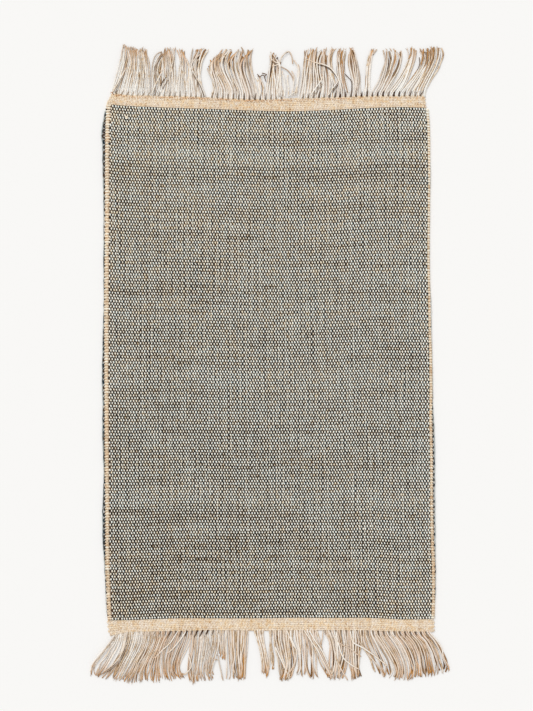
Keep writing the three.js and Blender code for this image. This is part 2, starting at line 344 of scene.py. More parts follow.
def put_in_scene(name, parts, material, nodes):
    """One piece, a mesh of quads from tubes, in place of the solids in nodes. Each part is (tubes,
    patch, columns, lying). The map OFBake holds the unrolled skins, and the map Yarn the turns around
    each yarn and the length along it in metres."""
    points = np.concatenate([part["points"] for part, *_ in parts])
    before = np.cumsum([0] + [len(part["points"]) for part, *_ in parts])
    vertex = np.concatenate([part["vertex"] + before[n] for n, (part, *_) in enumerate(parts)])
    flat = np.concatenate([unrolled(*part) for part in parts])
    twist = np.concatenate([
        np.stack([
            part["corners"][2] / part["sides"],
            part["length"][part["corners"][0], part["corners"][1]] * MM,
        ], -1)
        for part, *_ in parts
    ])
    mesh = bpy.data.meshes.new(name)
    mesh.vertices.add(len(points))
    mesh.vertices.foreach_set("co", ((points + SHIFT) * MM).astype(np.float32).ravel())
    mesh.loops.add(vertex.size)
    mesh.loops.foreach_set("vertex_index", vertex.astype(np.int32).ravel())
    mesh.polygons.add(len(vertex))
    mesh.polygons.foreach_set("loop_start", np.arange(0, vertex.size, 4, dtype=np.int32))
    mesh.update(calc_edges=True)
    mesh.polygons.foreach_set("use_smooth", np.ones(len(vertex), bool))
    for layer, values in (("OFBake", flat), ("Yarn", twist)):
        uv = mesh.uv_layers.new(name=layer)
        uv.data.foreach_set("uv", values.astype(np.float32).ravel())
    for key in ("tone", "worn", "shade"):
        attribute = mesh.attributes.new(key, "FLOAT", "POINT")
        values = np.concatenate([part[key] for part, *_ in parts])
        attribute.data.foreach_set("value", values.astype(np.float32))
    mesh.validate()
    mesh.materials.append(material)
    piece = bpy.data.objects.new(name, mesh)
    bpy.context.scene.collection.objects.link(piece)
    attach(piece, "root")
    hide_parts(*nodes)
    return piece


# Materials.


def dye(red, green, blue):
    """A colour as painters write it, 0 to 255, as the light that it returns."""
    share = np.array([red, green, blue]) / 255
    light = np.where(share <= 0.04045, share / 12.92, ((share + 0.055) / 1.055) ** 2.4)
    return (*light.tolist(), 1.0)


class Value:
    """A number that a material works out. Sums on it add Math nodes."""

    def __init__(self, recipe, socket):
        self.recipe = recipe
        self.socket = socket

    def sum(self, operation, *terms, clamp=False):
        """What one Math node makes of the terms."""
        settings = {"operation": operation, "use_clamp": clamp}
        return self.recipe.node("ShaderNodeMath", settings, dict(enumerate(terms)))

    def __add__(self, other):
        return self.sum("ADD", self, other)

    __radd__ = __add__

    def __sub__(self, other):
        return self.sum("SUBTRACT", self, other)

    def __rsub__(self, other):
        return self.sum("SUBTRACT", other, self)

    def __mul__(self, other):
        return self.sum("MULTIPLY", self, other)

    __rmul__ = __mul__

    def __truediv__(self, other):
        return self.sum("DIVIDE", self, other)

    def __abs__(self):
        return self.sum("ABSOLUTE", self)

    def sine(self):
        """The sine of a number in radians."""
        return self.sum("SINE", self)

    def between(self, low, high):
        """0 below low, 1 above high and a straight line between them."""
        return self.sum("MULTIPLY", (self - low) / (high - low), 1.0, clamp=True)


class Recipe:
    """The nodes of a material or of the room."""

    def __init__(self, owner):
        self.owner = owner
        self.owner.use_nodes = True
        self.tree = owner.node_tree
        self.tree.nodes.clear()

    def node(self, kind, settings=None, sockets=None, output=0):
        """A new node: its settings are set first, then the values or links of its sockets."""
        made = self.tree.nodes.new(kind)
        for key, value in (settings or {}).items():
            setattr(made, key, value)
        for key, value in (sockets or {}).items():
            if isinstance(value, Value):
                self.tree.links.new(value.socket, made.inputs[key])
            else:
                made.inputs[key].default_value = value
        return Value(self, made.outputs[output])

    def mix(self, share, first, second, kind="MIX"):
        """A colour between two others."""
        settings = {"data_type": "RGBA", "blend_type": kind}
        return self.node("ShaderNodeMix", settings, {0: share, 6: first, 7: second}, output=2)

    def noise(self, place, scale, detail=2.0, rough=0.5):
        """Soft noise round a half, with scale lumps to the metre."""
        sockets = {"Vector": place, "Scale": scale, "Detail": detail, "Roughness": rough}
        return self.node("ShaderNodeTexNoise", {}, sockets)

    def place(self):
        """Where a point is on the rug, in metres."""
        return self.node("ShaderNodeTexCoord", output=3)

    def attribute(self, name):
        """The number of that name that the mesh holds for each point."""
        return self.node("ShaderNodeAttribute", {"attribute_name": name}, output=2)

    def speckled(self, colour, place, cool, tan):
        """The colour times cool where what the mesh holds as worn plus a fine and a slow noise is low,
        times tan where it is high, and left as it is between."""
        warmth = self.noise(place, 140.0, detail=3.0, rough=0.7) + self.attribute("worn")
        warmth = warmth + (self.noise(place, 14.0) - 0.5) * 0.2
        tint = self.mix(warmth.between(0.34, 0.52), (*cool, 1.0), (1.0, 1.0, 1.0, 1.0))
        tint = self.mix(warmth.between(0.5, 0.68), tint, (*tan, 1.0))
        return self.mix(1.0, colour, tint, kind="MULTIPLY")

    def stretched(self, place, by):
        """The same places, drawn out so that a pattern runs along the yarn."""
        return self.node("ShaderNodeVectorMath", {"operation": "MULTIPLY"}, {0: place, 1: by})

    def parts_of(self, vector):
        """A vector's three numbers."""
        split = self.node("ShaderNodeSeparateXYZ", {}, {0: vector}).socket.node
        return [Value(self, socket) for socket in split.outputs]

    def strand(self, lay):
        """The turns around the yarn, 0 below and a half on its crown, and its two plies: a sine that
        winds round once in each lay, 0 in the furrows between them and 1 on top of them."""
        around, along, _ = self.parts_of(self.node("ShaderNodeUVMap", {"uv_map": "Yarn"}))
        ply = ((around * 2 + along / lay) * (2 * np.pi)).sine() * 0.5 + 0.5
        return around, ply

    def spun(self, colour, ply, fibre, relief, dullness):
        """The finish of a spun yarn: its plies and its fibres stand up, and fibres shine a little."""
        sockets = {"Strength": relief, "Distance": 0.0005, "Height": ply * 0.6 + fibre * 0.5}
        normal = self.node("ShaderNodeBump", {}, sockets)
        return self.finish(colour, dullness - fibre * 0.2, normal, sheen=0.05)

    def finish(self, colour, roughness, normal=None, sheen=0.0, lit=None):
        """The shader, and where lit gives a colour and a share, that much of that colour's own light."""
        sockets = {"Base Color": colour, "Roughness": roughness, "Specular IOR Level": 0.2,
                   "Sheen Weight": sheen}
        if normal is not None:
            sockets["Normal"] = normal
        shader = self.node("ShaderNodeBsdfPrincipled", {}, sockets)
        if lit is not None:
            glow = self.node("ShaderNodeEmission", {}, {"Color": lit[0], "Strength": 1.0})
            shader = self.node("ShaderNodeMixShader", {}, {0: lit[1], 1: shader, 2: glow})
        return self.show(shader, "ShaderNodeOutputMaterial")

    def seen(self):
        """1 where the eye looks, straight, in a gloss or through glass, and 0 for all other light."""
        kinds = ("Is Camera Ray", "Is Glossy Ray", "Is Transmission Ray")
        straight, gloss, through = (self.node("ShaderNodeLightPath", output=kind) for kind in kinds)
        return straight + gloss + through

    def show(self, shader, kind):
        """The shader as the surface, by an output of that kind. Returns the material or the world."""
        made = self.tree.nodes.new(kind)
        self.tree.links.new(shader.socket, made.inputs["Surface"])
        return self.owner


def spun_yarn(name, pale, middle, deep, lay, painted_shade_heights=None, fleck=0.5, cool=(0.95, 1.0, 1.03),
              tan=(1.02, 0.94, 0.84), painted_flank_light=None):
    """Spun jute. Its colour goes from deep through middle to pale as lift rises, and lift is the sum of
    how near the crown a place is, a painted highlight on top and painted shade on the sides, the plies,
    with painted shade in the furrows between them, the fibres, as strong as fleck says, a patchy and a
    cloudy noise, and the yarn's own tone. lay is how far a ply takes to wind round, in metres. Where two
    heights are given, in metres, a yarn goes between them from much darker to a little lighter: painted
    shade where it dips low. cool and tan tint its speckles, and the two flank tints, where given, paint
    light and shade on its left and its right flank."""
    yarn = Recipe(bpy.data.materials.new(name))
    place = yarn.place()
    around, ply = yarn.strand(lay)
    tone = yarn.attribute("tone")
    # Painted highlight and shade: lighter on the crown and on the plies, darker on the sides and between the
    # plies.
    crown = 1 - abs(around - 0.5) * 2
    fibre = yarn.noise(yarn.stretched(place, (1.0, 0.35, 1.0)), 1500.0, detail=3.0)
    patch = yarn.noise(place, 260.0, detail=2.0)
    cloud = yarn.noise(place, 9.0, detail=2.0)
    lift = crown * 0.55 + ply * 0.2 + (fibre - 0.5) * fleck + (patch - 0.5) * 0.9 + (tone - 0.5) * 1.1
    lift = lift + (cloud - 0.5) * 0.25
    # Painted shade: the yarn darker where it dips low between the others.
    if painted_shade_heights is not None:
        _, _, height = yarn.parts_of(place)
        lift = lift + height.between(*painted_shade_heights) * 1.5 - 0.88
    colour = yarn.mix(lift.between(0.0, 0.45), deep, middle)
    colour = yarn.mix(lift.between(0.35, 0.8), colour, pale)
    colour = yarn.speckled(colour, place, cool, tan)
    # Painted light and shade: one flank of the yarn tinted cool and the other warm.
    if painted_flank_light is not None:
        flank_light = yarn.mix(around.between(0.36, 0.64), (*painted_flank_light[0], 1.0), (*painted_flank_light[1], 1.0))
        flank_light = yarn.mix(crown.between(0.5, 0.85), flank_light, (1.0, 1.0, 1.0, 1.0))
        colour = yarn.mix(1.0, colour, flank_light, kind="MULTIPLY")
    return yarn.spun(colour, ply, fibre, 0.35, 0.92)


def fringe_yarn(name, pale, middle, deep, worn, umber, lay):
    """The same yarn where it hangs free, its crown narrower: a painted highlight on top, and painted shade
    on the flanks, which stay deep. What the mesh holds as worn turns it towards the worn dye, and to
    umber, painted shade, in its furrows and on its flanks, and what it holds as shade towards umber:
    painted shade between the bundles and under the strands on top, and the umber of some strays and tips."""
    yarn = Recipe(bpy.data.materials.new(name))
    place = yarn.place()
    around, ply = yarn.strand(lay)
    tone = yarn.attribute("tone")
    # Painted highlight on the crown and painted shade on the flanks.
    crown = (1 - abs(around - 0.5) * 2).between(0.48, 0.88)
    fibre = yarn.noise(yarn.stretched(place, (1.0, 0.3, 1.0)), 1300.0, detail=3.0)
    patch = yarn.noise(place, 160.0, detail=2.0)
    lift = crown * 0.9 + ply * 0.15 + (fibre - 0.5) * 0.5 + (patch - 0.5) * 0.8 + (tone - 0.5) * 1.1
    colour = yarn.mix(lift.between(0.1, 0.6), deep, middle)
    colour = yarn.mix(lift.between(0.6, 1.0), colour, pale)
    # Painted shade: worn parts go umber where lift is low.
    brown = yarn.mix(lift.between(0.2, 0.9), umber, worn)
    colour = yarn.mix(yarn.attribute("worn") * (0.5 + patch), colour, brown)
    colour = yarn.mix(yarn.attribute("shade"), colour, umber)
    return yarn.spun(colour, ply, fibre, 0.4, 0.9)


# The field.


def pick_places(rng, picks, spread):
    """Where each pick lies, as shares of the way up a band: even steps, each a little wide or narrow."""
    steps = 1 + rng.normal(0, spread, picks)
    ends = np.concatenate([[0], np.cumsum(steps)]) / steps.sum()
    return (ends[:-1] + ends[1:]) / 2


def weft_path(rng, rows, low, high, left_in, right_in, height, steps, loops):
    """One yarn laid to and fro. Each run crosses at its row, every second one backwards, and a half
    ellipse joins its end to the next row's start. loops is how far each turn stands out at the side."""
    share = np.linspace(0, 1, steps + 1)[None, :]
    x, y = on_cloth(share, rows[:, None], low, high, left_in, right_in)
    y = y + uneven(rng, y.shape, steps // 4, 0.16)
    back = np.arange(len(rows)) % 2 == 1
    x[back] = x[back, ::-1]
    y[back] = y[back, ::-1]
    runs = np.stack([x, y, np.full_like(x, height)], -1)
    start = runs[:-1, -1]
    after = runs[1:, 0]
    middle = (start + after) / 2
    reach = np.abs(after[:, 1] - start[:, 1]) / 2 + loops
    outward = np.where(back[:-1], -1.0, 1.0)
    turn = (np.arange(TURN_STEPS) + 0.5) / TURN_STEPS * np.pi
    bend = middle[:, None] + (start - middle)[:, None] * np.cos(turn)[None, :, None]
    bend[..., 0] += (outward * reach)[:, None] * np.sin(turn)
    bend = np.concatenate([bend, bend[-1:] * 0 + runs[-1:, -1:]])
    path = np.concatenate([runs, bend], axis=1).reshape(1, -1, 3)
    return path[:, :-TURN_STEPS]


def picks_along(path, picks, steps):
    """The pick to which each point of a weft belongs, its turns with the pick before them."""
    return np.minimum(np.arange(path.shape[1]) // (steps + 1 + TURN_STEPS), picks - 1)


def along_weft(picks, steps, run, turn):
    """A number for each point of a weft, such as half its width: one where it runs, flattened under the
    warps, another where it turns back, and half way between them where the two meet."""
    one = np.concatenate([np.full(steps + 1, run), np.full(TURN_STEPS, turn)])
    one[0] = one[steps] = (run + turn) / 2
    return np.tile(one, picks)[None, :-TURN_STEPS]


def turn_loops(rng, picks, middle_y):
    """How much further than a half circle each turn of the dark weft stands out: less far on the left,
    as far on the right in the lower part of the rug, and drawn in above it, with a loose one here and
    there."""
    left = rng.normal(-1.2, 0.5, picks) + 2.2 * (rng.random(picks) < 0.05)
    right = np.where(middle_y < -60, rng.normal(0.2, 0.6, picks), -1.8) + 2.0 * (rng.random(picks) < 0.04)
    return np.where(np.arange(picks) % 2 == 1, left, right)[:-1]


def warp_marks(picks, start):
    """The points of one warp: for each pick that it floats over, one at either end of the float, and
    for each that it dips under, one. Columns: pick, how far along from its middle, up or down."""
    floats = (np.arange(picks) + start) % 2 == 0
    pick = np.repeat(np.arange(picks), 1 + floats)
    first = np.diff(pick, prepend=-1) > 0
    along = np.where(floats[pick], np.where(first, -1, 1), 0)
    return np.stack([pick, along, np.where(floats[pick], 1, -1)], -1)


def warp_paths(rng, shares, rows, start, low, high, bands, middle, swing, reach, lean, ends):
    """Warps over one pick and under the next, from one crossing line to another. They swing up and down
    about the height middle, and lie at the height ends on the lines. Each wanders a little across, and
    each float leans, its far end to the left. Returns their paths and, for each point, 1 on a float and
    0 in a dip."""
    pick, along, over = warp_marks(len(rows), start).T
    wander = uneven(rng, (len(shares), len(rows)), 24, 0.0005)
    across = shares[:, None] + wander + rng.normal(0, 0.00018, (len(shares), 1))
    x, y = on_cloth(across, rows[None, :], low, high, *bands)
    tilt = lean + rng.normal(0, lean * 0.6 + 0.02, x.shape)
    x = x[:, pick] - along * tilt[:, pick]
    y = y[:, pick] + along * reach
    z = np.broadcast_to(middle + swing * over, x.shape)

    def end(column, share):
        """Where each warp meets the line that lies that share of the way up."""
        end_x, end_y = on_cloth(column, share, low, high, *bands)
        return np.stack([end_x, end_y, np.full_like(end_x, ends)], -1)

    inner = np.stack([x, y, z], -1)
    path = np.concatenate([end(across[:, :1], 0.0), inner, end(across[:, -1:], 1.0)], axis=1)
    return path, np.concatenate([[0.0], (over + 1) / 2, [0.0]])


def band_tone(share):
    """How light the yarns have come out of the dye, by share of the way up the field."""
    bands = np.array([  # share, tone
        (0.00, 0.46), (0.08, 0.44), (0.16, 0.47), (0.20, 0.46), (0.25, 0.51), (0.30, 0.46),
        (0.36, 0.51), (0.50, 0.52), (0.53, 0.54), (0.55, 0.48), (0.59, 0.55), (0.63, 0.50),
        (0.65, 0.51), (0.69, 0.59), (0.71, 0.52), (0.75, 0.56), (0.77, 0.50), (0.79, 0.57),
        (0.81, 0.51), (0.83, 0.62), (0.87, 0.46), (0.89, 0.58), (0.91, 0.74), (0.93, 0.51),
        (0.95, 0.52), (0.968, 0.73), (1.00, 0.56),
    ])
    return np.interp(share, bands[:, 0], bands[:, 1])


def mottled(mottle, pick, across):
    """The tone of one crossing: mottle has a row for each pick and so many knots along it."""
    at = np.clip(across, 0, 1) * (mottle.shape[1] - 1)
    knot = np.minimum(at.astype(int), mottle.shape[1] - 2)
    left, right = mottle[pick, knot], mottle[pick, knot + 1]
    return left + (right - left) * (at - knot)


def weave_field():
    """The weft in one piece and the warps in four, the odd and the even ones of either half. Each pick
    has a tone at some places across the rug: the dye's band, plus chance, less towards the bottom left,
    which is painted shade, and spread out round a half. Every crossing takes its tone from there, and
    each warp adds chance of its own. How brown they are goes by the pick in the same way."""
    rng = np.random.default_rng(FIELD_SEED)
    rows = pick_places(rng, PICKS, PICK_SPREAD)
    field = (BOTTOM_FIELD, TOP_FIELD)
    _, middle_y = on_cloth(np.full(PICKS, 0.5), rows, *field)
    loops = turn_loops(rng, PICKS, middle_y)
    path = weft_path(rng, rows, *field, WEFT_IN_LEFT, WEFT_IN_RIGHT, WARP_MIDDLE, WEFT_STEPS, loops)
    wide = along_weft(PICKS, WEFT_STEPS, WEFT_HALF_WIDE, TURN_HALF_WIDE)
    wide = wide * (1 + uneven(rng, wide.shape, PICKS * 12, 0.06))
    high = along_weft(PICKS, WEFT_STEPS, WEFT_HALF_HIGH, TURN_HALF_HIGH)
    pick = picks_along(path, PICKS, WEFT_STEPS)
    in_turn = along_weft(PICKS, WEFT_STEPS, 0.0, 1.0)[0]
    across = path[0, :, 0] / (SIDES[:, RIGHT].max() - SIDES[:, LEFT].min()) + 0.5
    own = rng.normal(0, 0.06, PICKS)
    mottle = (band_tone(rows) + own)[:, None] + rng.normal(0, 0.085, (PICKS, MOTTLE_KNOTS))
    # Painted shade: darker towards the bottom left.
    mottle = mottle + np.outer(1 - rows, np.linspace(-0.08, 0.03, MOTTLE_KNOTS))
    mottle = 0.5 + (mottle - 0.5) * 1.4
    browned = np.interp(rows, [0, 0.15, 0.35, 0.55, 0.8, 1], [0.03, 0.0, -0.025, 0.0, 0.03, 0.015])
    browned = (browned + rng.normal(0, 0.01, PICKS))[:, None] + np.linspace(0.015, -0.015, MOTTLE_KNOTS)
    tone = mottled(mottle, pick, across) + 0.35 * in_turn
    weft = tubes(path, wide, high, 6, tone=tone, worn=mottled(browned, pick, across), cells=PICKS)
    charcoal = spun_yarn("charcoal jute", dye(44, 45, 44), dye(19, 21, 21), dye(7, 8, 9), 0.011,
                         fleck=0.8, cool=(0.3, 0.95, 1.5), tan=(3.2, 1.35, 0.5))
    laid = put_in_scene("weft", [(weft, (0, 0, 1, 1), 1, True)], charcoal, ["woven_field"])

    natural = spun_yarn("natural jute warp", dye(255, 254, 246), dye(230, 209, 176), dye(84, 62, 40),
                        0.006, painted_shade_heights=(0.0047, 0.0064), fleck=0.35, cool=(0.96, 1.0, 1.02),
                        tan=(1.0, 0.89, 0.72), painted_flank_light=((0.6, 0.94, 1.06), (1.22, 0.97, 0.76)))
    raised = []
    for name, start, half in (
        ("odd_warps_left", 0, 0), ("odd_warps_right", 0, 1),
        ("even_warps_left", 1, 0), ("even_warps_right", 1, 1),
    ):
        number = np.arange(start, WARPS, 2)
        number = number[number * 2 // WARPS == half]
        shares = (number + 0.5) / WARPS
        passed = np.concatenate([[0], warp_marks(PICKS, start)[:, 0], [PICKS - 1]])
        paths, on_top = warp_paths(rng, shares, rows, start, *field, (LEFT_BAND, RIGHT_BAND, BINDINGS),
                                   WARP_MIDDLE, WARP_SWING, FLOAT_REACH, FLOAT_LEAN, WARP_END)
        wide = WARP_DIP_WIDE + (WARP_FLOAT_WIDE - WARP_DIP_WIDE) * on_top
        wide = wide * (1 + uneven(rng, paths.shape[:2], 140, 0.07))
        own = rng.normal(0, 0.02, (len(shares), 1)) + uneven(rng, paths.shape[:2], 40, 0.09)
        own = own + rng.normal(0, 0.15, paths.shape[:2])
        tone = mottled(mottle, passed[None, :], shares[:, None]) + own
        worn = mottled(browned, passed[None, :], shares[:, None])
        yarns = tubes(paths, wide, WARP_HALF_HIGH, 4, tone=tone, worn=worn)
        parts = [(yarns, (0, 0, 1, 1), len(shares), False)]
        raised.append(put_in_scene(name, parts, natural, ["woven_field"]))
    return laid, raised


def lay_edge_threads():
    """The dark weft crowded along both sides: on the left nearly all the way, in bulges, and on the
    right mostly in the lower half. Each is a thread just inside the side, as wide as the table says."""
    widths = np.array([  # y, half width of the left one, half width of the right one
        (-470, 0.3, 0.3), (-400, 0.5, 0.3), (-360, 1.0, 0.4), (-330, 1.1, 0.8), (-290, 1.2, 0.9),
        (-240, 0.9, 0.7), (-180, 1.3, 1.0), (-125, 1.4, 1.1), (-90, 1.1, 0.7), (-20, 1.1, 0.3),
        (50, 1.0, 0.2), (100, 0.6, 0.3), (150, 0.8, 0.3), (205, 1.2, 0.2), (250, 0.4, 0.2),
        (300, 1.0, 0.2), (350, 1.3, 0.2), (400, 1.2, 0.2), (430, 1.6, 0.2), (468, 1.4, 0.2),
    ])
    rng = np.random.default_rng(37)
    y = np.linspace(-462, 466, EDGE_STEPS)
    parts = []
    for side, inward, light, patch in (
        (LEFT, 1, 0.6, (0, 0, 0.48, 1)), (RIGHT, -1, 0.78, (0.5, 0, 1, 1)),
    ):
        half = curve(widths, side, y)[None, :] * (1 + uneven(rng, (1, EDGE_STEPS), 200, 0.15))
        x = curve(SIDES, side, y)[None, :] + inward * (half + 0.7) + uneven(rng, half.shape, 150, 0.25)
        path = np.stack([x, np.broadcast_to(y, x.shape), np.full_like(x, EDGE_MIDDLE)], -1)
        tone = light + uneven(rng, half.shape, 120, 0.25)
        thread = tubes(path, half, np.minimum(half, 1.6), 8, tone=tone, cells=EDGE_CELLS)
        parts.append((thread, patch, 1, True))
    slate = spun_yarn("slate jute", dye(178, 184, 180), dye(96, 104, 104), dye(38, 43, 45), 0.006, fleck=1.1)
    return put_in_scene("edge_threads", parts, slate, ["woven_field"])


def knot_slub():
    """One slub near the top left corner: a short cream end curled on itself, a spiral that widens and
    climbs with the angle, inside part of a dark ring."""
    rng = np.random.default_rng(41)
    turn = np.linspace(0, 2.9 * np.pi, 40)
    reach = 1.2 + 0.12 * turn
    curl = np.stack([SLUB_X + reach * np.cos(turn), SLUB_Y + reach * np.sin(turn), 5.2 + 0.18 * turn], -1)
    cream = tubes(curl[None], 1.0 + rng.normal(0, 0.05, 40), 0.9, 6, tone=0.75, cells=10)
    arc = np.linspace(0.9 * np.pi, 1.75 * np.pi, 16)
    loop = np.stack([SLUB_X + 4.1 * np.cos(arc), SLUB_Y + 4.1 * np.sin(arc), np.full(16, 6.0)], -1)
    dark = tubes(loop[None], 0.9, 0.8, 6, tone=-0.9, cells=10)
    slub = spun_yarn("slub jute", dye(255, 250, 236), dye(226, 200, 164), dye(24, 22, 20), 0.005)
    parts = [(cream, (0, 0, 0.48, 1), 1, True), (dark, (0.5, 0, 1, 1), 1, True)]
    return put_in_scene("slub", parts, slub, ["woven_field"])


# The bindings.


def binding_path(rng, rows, side):
    """An overcast yarn, one turn to a pick, each an ellipse round the binding's middle: over the top
    almost straight across, and back underneath a step further on."""
    across, inward = (0.0, 1) if side == LEFT else (1.0, -1)
    turns = np.arange(PICKS * BIND_STEPS + 1) / BIND_STEPS
    whole = np.minimum(turns.astype(int), PICKS - 1)
    phase = turns - whole
    step = np.where(phase < 0.5, 0.16 * phase, 0.08 + (phase - 0.5) * 1.84)
    places = np.interp(whole + step, np.arange(PICKS) + 0.25, rows)
    _, y = on_cloth(np.full(len(places), across), places, BOTTOM_FIELD, TOP_FIELD)
    angle = np.pi * (1 - 2 * phase)
    uneven_reach = 1 + rng.normal(0, 0.3, PICKS)[whole] * (np.cos(angle) > 0)
    reach = curve(BINDINGS, side + REACH, y) * uneven_reach
    x = curve(BINDINGS, side, y) + inward * reach * np.cos(angle)
    z = BIND_MIDDLE + BIND_RISE * np.sin(angle)
    return np.stack([x, y, z], -1)[None]


def bind_sides():
    """Both bindings, each an overcast yarn and the core inside it, a flat tube along the binding's
    middle. Their turns go by the field's own picks, drawn again from its seed."""
    rng = np.random.default_rng(47)
    rows = pick_places(np.random.default_rng(FIELD_SEED), PICKS, PICK_SPREAD)
    _, middle_y = on_cloth(np.full(PICKS, 0.5), rows, BOTTOM_FIELD, TOP_FIELD)
    tan = spun_yarn("overcast jute", dye(255, 250, 236), dye(244, 226, 200), dye(198, 168, 134), 0.007,
                    fleck=0.5)
    made = []
    for name, side, shades, node in (
        ("binding_left", LEFT, (0.36, 0.5, 0.56), "selvedge_left"),
        ("binding_right", RIGHT, (0.36, 0.42, 0.8), "selvedge_right"),
    ):
        path = binding_path(rng, rows, side)
        light = np.interp(np.arange(PICKS + 1) / PICKS, [0, 0.5, 1], shades)
        tone = np.repeat(light + rng.normal(0, 0.09, PICKS + 1), BIND_STEPS)[: path.shape[1]]
        yarn = tubes(path, BIND_HALF_THICK, BIND_HALF_THICK, 6, up=(0, 1, 0), tone=tone, cells=PICKS)
        middle_x = curve(BINDINGS, side, middle_y)
        cord = np.stack([middle_x, middle_y, np.full(PICKS, BIND_MIDDLE)], -1)[None]
        core_wide = curve(BINDINGS, side + REACH, middle_y)[None] + 0.9
        core = tubes(cord, core_wide, BIND_HALF_THICK, 8, tone=0.1)
        parts = [(yarn, (0, 0, 0.9, 1), 1, True), (core, (0.92, 0, 1, 1), 1, False)]
        made.append(put_in_scene(name, parts, tan, [node]))
    return made


# The headings.


def weave_heading(name, low, high, seed, material, node):
    """A band of plain weave in natural yarn: its own weft to and fro, and the warps over and under."""
    rng = np.random.default_rng(seed)
    rows = pick_places(rng, HEADING_PICKS, 0.06)
    loops = np.abs(rng.normal(0, 0.4, HEADING_PICKS - 1))
    path = weft_path(rng, rows, low, high, HEADING_WEFT_IN, HEADING_WEFT_IN, HEADING_MIDDLE,
                     HEADING_STEPS, loops)
    wide = along_weft(HEADING_PICKS, HEADING_STEPS, HEADING_WEFT_HALF_WIDE, HEADING_TURN_HALF_WIDE)
    wide = wide * (1 + uneven(rng, wide.shape, 300, 0.08))
    pick = picks_along(path, HEADING_PICKS, HEADING_STEPS)
    tone = rng.normal(0.5, 0.08, HEADING_PICKS)[pick]
    weft = tubes(path, wide, HEADING_WEFT_HALF_HIGH, 8, tone=tone, cells=HEADING_PICKS)
    parts = [(weft, (0, 0, 1, 0.3), 1, True)]
    for start, patch in ((0, (0, 0.32, 1, 0.65)), (1, (0, 0.66, 1, 0.99))):
        shares = (np.arange(start, HEADING_WARPS, 2) + 0.5) / HEADING_WARPS
        paths, on_top = warp_paths(rng, shares, rows, start, low, high, (HEADING_WARPS_IN, HEADING_WARPS_IN),
                                   HEADING_MIDDLE, HEADING_SWING, HEADING_FLOAT_REACH,
                                   HEADING_FLOAT_LEAN, HEADING_MIDDLE)
        tone = 0.5 + rng.normal(0, 0.08, (len(shares), 1)) + rng.normal(0, 0.08, paths.shape[:2])
        warps = tubes(paths, HEADING_YARN * (1 + 0.25 * on_top), HEADING_YARN, 6, tone=tone)
        parts.append((warps, patch, len(shares) // 2, False))
    return put_in_scene(name, parts, material, [node])


def twine_top_heading():
    """Two rust-brown threads near the heading's outer edge, half a turn apart on one flat screw, so
    that they cross and cross again. They sink into the heading here and there, ever more towards the
    right, and curl up at its left end in one short thread that tapers."""
    rng = np.random.default_rng(59)
    share = np.linspace(0.012, 0.995, TWINE_STEPS)
    x, y = on_cloth(share, 0.85, TOP_FIELD, TOP_FRINGE, 1.0, 1.0)
    swing = np.array([0, np.pi])[:, None] + share * 2 * np.pi * TWINE_TURNS
    y = y + 0.7 * np.sin(swing) + uneven(rng, y.shape, 60, 0.35)
    sunk = np.interp(share, [0, 0.6, 0.75, 1], [0, 0.2, 0.9, 1.0])
    z = np.clip(3.3 + 0.4 * np.cos(swing) + uneven(rng, swing.shape, 90, 0.9) - sunk, 0.9, 4.7)
    path = np.stack([np.broadcast_to(x, z.shape), np.broadcast_to(y, z.shape), z], -1)
    tone = 0.5 + uneven(rng, z.shape, 40, 0.25)
    threads = tubes(path, TWINE_HALF_THICK, TWINE_HALF_THICK, 6, tone=tone, cells=8)
    turn = np.linspace(0, 1.3 * np.pi, 24)
    curl = np.stack([-286.5 - 5.5 * turn / 4, 496 + 4.2 * np.sin(turn * 0.62), 4.2 + 0.3 * turn], -1)
    tip = tubes(curl[None], np.linspace(0.9, 0.5, 24), 0.7, 6, tone=0.2, cells=4)
    rust = spun_yarn("rust thread", dye(240, 200, 158), dye(216, 160, 110), dye(150, 92, 54), 0.003)
    parts = [(threads, (0, 0, 1, 0.9), 1, True), (tip, (0, 0.92, 1, 1), 1, True)]
    return put_in_scene("twining_top", parts, rust, ["heading_top"])


# The fringes.

# In each: x, how dark the painted shade in the furrows is, how the furrows lean, strands to a bundle, how
# brown the yarns are.
DARK, LEAN, STRANDS, BROWN = 1, 2, 3, 4  # columns of both tables
TOP_FURROWS = np.array([
    (-300, 0.45, 0.5, 3, 0.0), (-250, 0.3, 0.5, 3, 0.0), (-210, 0.45, 0.6, 3, 0.02),
    (-160, 0.4, 0.1, 3, 0.04), (-145, 0.4, 0.1, 2, 0.05), (-100, 0.45, 0.0, 2, 0.12),
    (-30, 0.75, 0.1, 2, 0.12), (20, 0.6, 0.2, 2, 0.08), (70, 0.7, 0.3, 2, 0.08),
    (110, 0.8, 0.3, 2, 0.1), (140, 1.0, 0.1, 2, 0.1), (200, 1.0, 0.1, 2, 0.1),
    (230, 0.95, 0.3, 2, 0.03), (290, 0.65, 0.6, 2, 0.0),
])
BOTTOM_FURROWS = np.array([
    (-300, 0.0, -0.4, 3, 0.04), (-240, 0.05, -0.4, 3, 0.06), (-210, 0.2, -0.4, 3, 0.35),
    (-185, 0.8, -0.5, 3, 0.45), (-150, 0.9, -0.5, 3, 0.4), (-110, 1.0, -0.5, 3, 0.1),
    (-95, 0.4, -0.2, 3, 0.15), (-80, 0.2, 0.0, 3, 0.28), (-60, 0.15, 0.0, 2, 0.28),
    (0, 0.2, 0.0, 2, 0.2), (60, 0.2, 0.0, 2, 0.3), (90, 0.3, 0.0, 2, 0.35), (120, 0.55, 0.0, 2, 0.25),
    (200, 0.7, 0.2, 2, 0.3), (270, 0.8, 0.2, 2, 0.34), (300, 0.5, 0.4, 2, 0.34),
])


